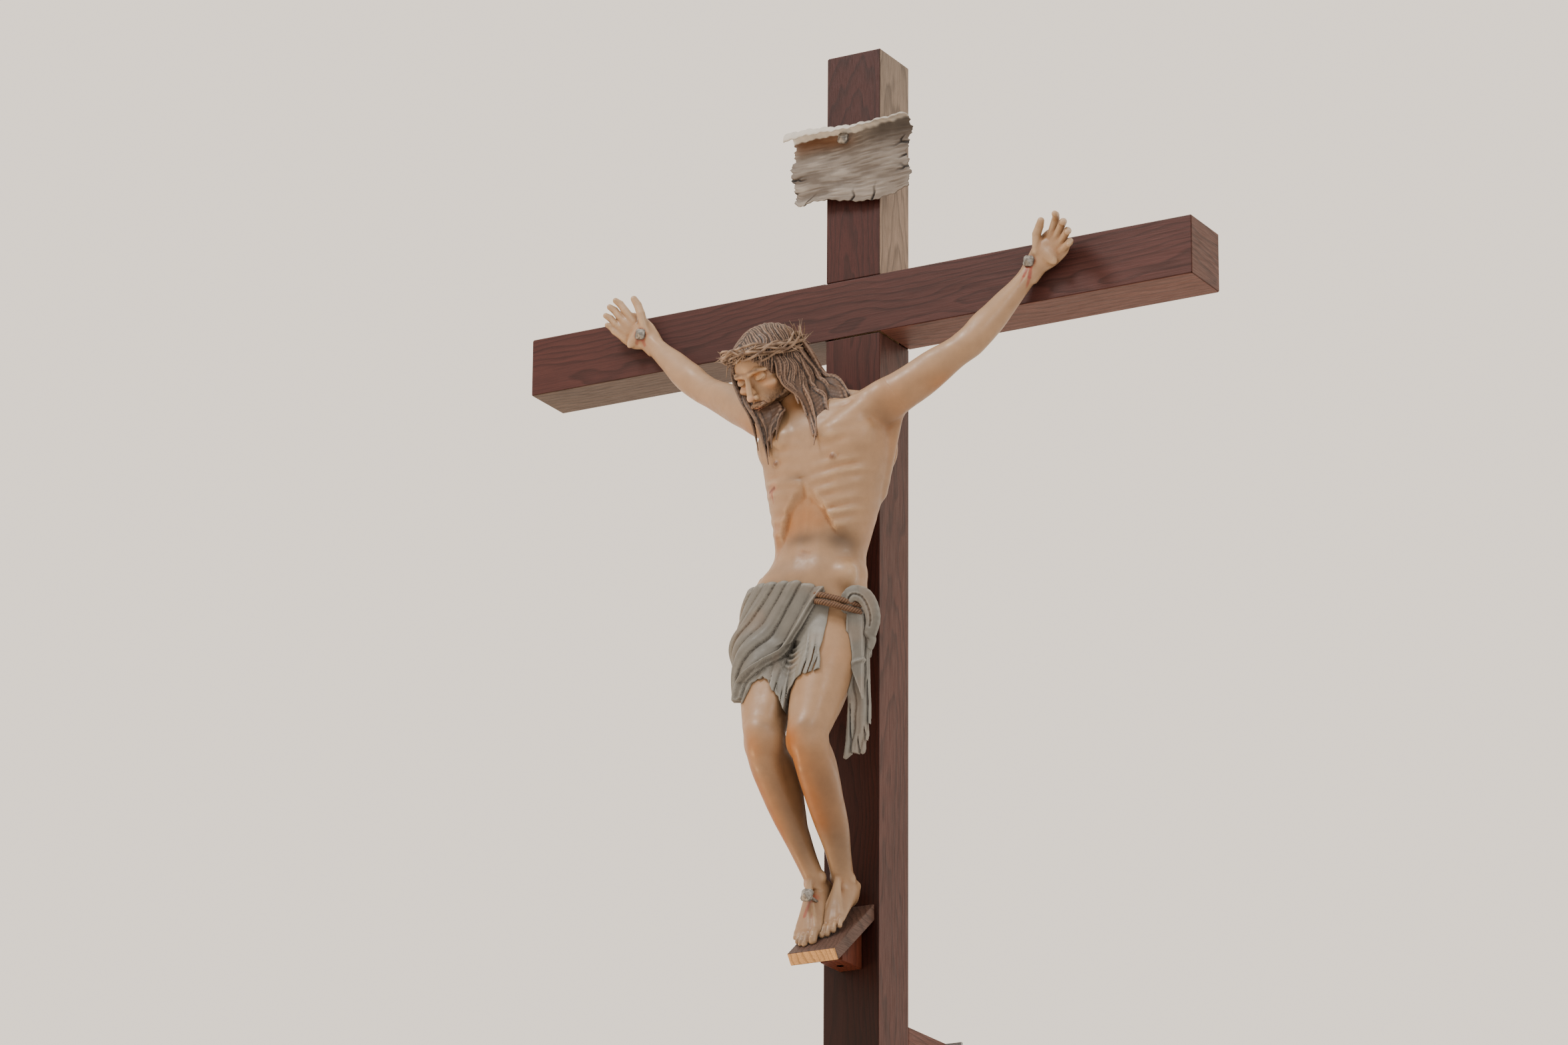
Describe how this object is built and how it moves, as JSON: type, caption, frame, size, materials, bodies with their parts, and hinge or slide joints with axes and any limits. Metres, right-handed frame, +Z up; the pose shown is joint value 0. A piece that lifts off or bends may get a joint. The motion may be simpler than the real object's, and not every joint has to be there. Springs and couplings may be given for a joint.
{
  "type": "altar cross",
  "caption": "Wall-hung boxed oak altar cross with a carved and painted corpus, loincloth, thorn crown, footrest and blank scroll.",
  "frame": {"origin": "centre of the upper wall tie's back face, on the wall plane", "axes": "+X to the viewer's right along the beam, +Y out of the cross's back into the wall, +Z up along the post"},
  "size_m": [1.844, 0.7037, 2.612],
  "materials": {
    "stained_oak": "dark red-brown stained oak, open grain, satin",
    "softwood": "planed softwood, unfinished",
    "fixing_steel": "zinc-plated steel",
    "footrest_oak": "greyed brown oak with a bare sawn end",
    "scroll_paint": "carved wood painted grey-beige like old parchment, matt",
    "nail_paint": "carved faceted heads, leaded silver-grey paint",
    "flesh_paint": "polychrome flesh paint on carved limewood, satin glaze",
    "hair_paint": "carved hair, grey-brown paint with lighter ridges",
    "beech_dowel": "turned beech, unfinished",
    "twig_paint": "tan painted twisted twigs",
    "cloth_paint": "carved folds, matt warm grey paint",
    "cord_paint": "carved two-strand cord, brown paint, satin"
  },
  "bodies": {
    "root": {"post_front_lower": "stained_oak", "post_front_upper": "stained_oak", "post_left_lower": "stained_oak", "post_left_upper": "stained_oak", "post_right_lower": "stained_oak", "post_right_upper": "stained_oak", "post_back": "stained_oak", "post_top_cap": "stained_oak", "post_bottom_cap": "stained_oak", "beam_front": "stained_oak", "beam_top_left": "stained_oak", "beam_bottom_left": "stained_oak", "beam_back_left": "stained_oak", "beam_end_left": "stained_oak", "beam_top_right": "stained_oak", "beam_bottom_right": "stained_oak", "beam_back_right": "stained_oak", "beam_end_right": "stained_oak", "arm_top": "stained_oak", "arm_bottom": "stained_oak", "arm_left": "stained_oak", "arm_right": "stained_oak", "footrest_bracket": "stained_oak", "post_core": "softwood", "beam_core": "softwood", "arm_core": "softwood", "wall_bracket_lower": "fixing_steel", "arm_pin_upper": "fixing_steel", "arm_pin_lower": "fixing_steel", "arm_bolt_left": "fixing_steel", "arm_bolt_right": "fixing_steel", "crossing_bolt_left": "fixing_steel", "crossing_bolt_right": "fixing_steel", "wall_tie_upper": "fixing_steel", "tie_screw_left": "fixing_steel", "tie_screw_right": "fixing_steel", "footrest_screw": "fixing_steel", "bracket_rod_left": "fixing_steel", "bracket_rod_right": "fixing_steel", "corpus_hanger_rod": "fixing_steel", "footrest_board": "footrest_oak", "titulus_scroll": "scroll_paint", "titulus_nail": "nail_paint", "hand_nail_right": "nail_paint", "hand_nail_left": "nail_paint", "foot_nail": "nail_paint", "corpus_torso": "flesh_paint", "corpus_arm_right": "flesh_paint", "corpus_arm_left": "flesh_paint", "corpus_leg_right": "flesh_paint", "corpus_leg_left": "flesh_paint", "corpus_head": "hair_paint", "neck_dowel": "beech_dowel", "shoulder_dowel_right": "beech_dowel", "shoulder_dowel_left": "beech_dowel", "crown_of_thorns": "twig_paint", "loincloth": "cloth_paint", "loincloth_hanging_end": "cloth_paint", "waist_cord_upper": "cord_paint", "waist_cord_lower": "cord_paint"}
  },
  "joints": []
}
